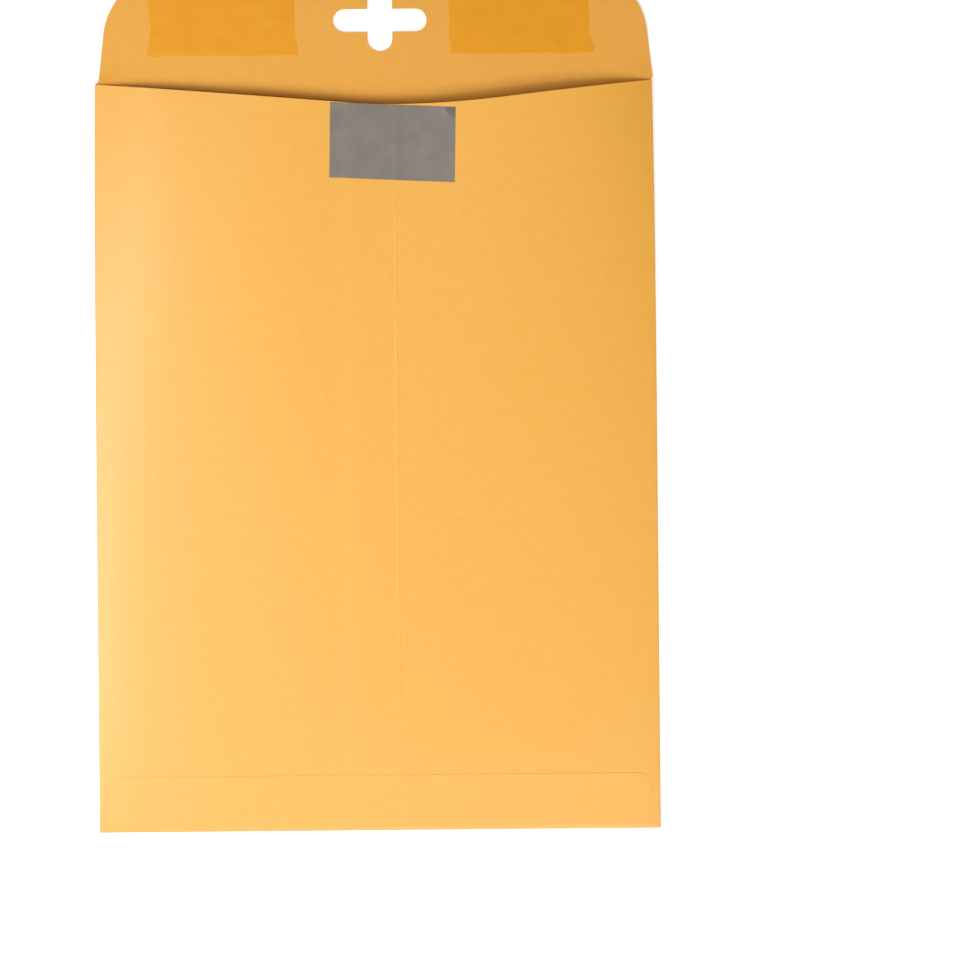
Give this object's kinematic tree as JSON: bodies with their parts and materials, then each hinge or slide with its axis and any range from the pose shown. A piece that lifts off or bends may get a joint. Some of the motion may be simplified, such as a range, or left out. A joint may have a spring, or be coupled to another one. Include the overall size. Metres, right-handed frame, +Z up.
{
  "type": "paper envelope",
  "caption": "Large kraft paper envelope lying on its front, with its seal flap open, a cross-shaped hole in the flap, gum patches beside the hole and a film patch on the back.",
  "frame": {"origin": "on the table, under the middle of the whole outline", "axes": "+X across the width, +Y from the bottom fold to the open flap, +Z up from the table; the front faces down"},
  "size_m": [0.2286, 0.3556, 0.0098],
  "materials": {
    "kraft_paper": "matte golden-brown kraft",
    "dried_gum": "slightly glossy dried gum",
    "grey_film": "satin grey film"
  },
  "bodies": {
    "root": {"paper_sheet": "kraft_paper", "gum_patch_left": "dried_gum", "gum_patch_right": "dried_gum", "closure_film": "grey_film"}
  },
  "joints": []
}
